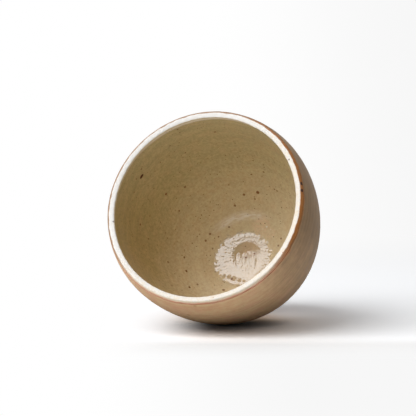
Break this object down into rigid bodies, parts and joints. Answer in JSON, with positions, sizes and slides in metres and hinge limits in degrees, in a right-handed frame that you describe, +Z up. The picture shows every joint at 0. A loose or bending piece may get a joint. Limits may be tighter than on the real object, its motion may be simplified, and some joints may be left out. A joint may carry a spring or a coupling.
{
  "type": "yunomi teacup",
  "caption": "Round-bellied handle-less stoneware tea cup with a speckled liner glaze, a white lip band, a satin outer glaze and a turned foot ring.",
  "frame": {"origin": "centre of the face that the cup rests on, under the middle of its foot ring", "axes": "+Z up along the wheel's axis, from the foot to the mouth; the cup is round, so X and Y are free"},
  "size_m": [0.0804, 0.0804, 0.0718],
  "materials": {
    "rust_clay": "bare rust-brown fired clay, matt",
    "bare_foot_clay": "bare fired clay, turned and matt",
    "olive_liner_glaze": "glossy olive-beige glaze with iron specks",
    "taupe_satin_glaze": "satin beige-taupe glaze with fine streaks",
    "cream_lip_glaze": "glossy cream-white glaze"
  },
  "bodies": {
    "root": {"clay_body": "rust_clay", "foot_ring": "bare_foot_clay", "inner_glaze": "olive_liner_glaze", "outer_glaze": "taupe_satin_glaze", "lip_glaze": "cream_lip_glaze"}
  },
  "joints": []
}
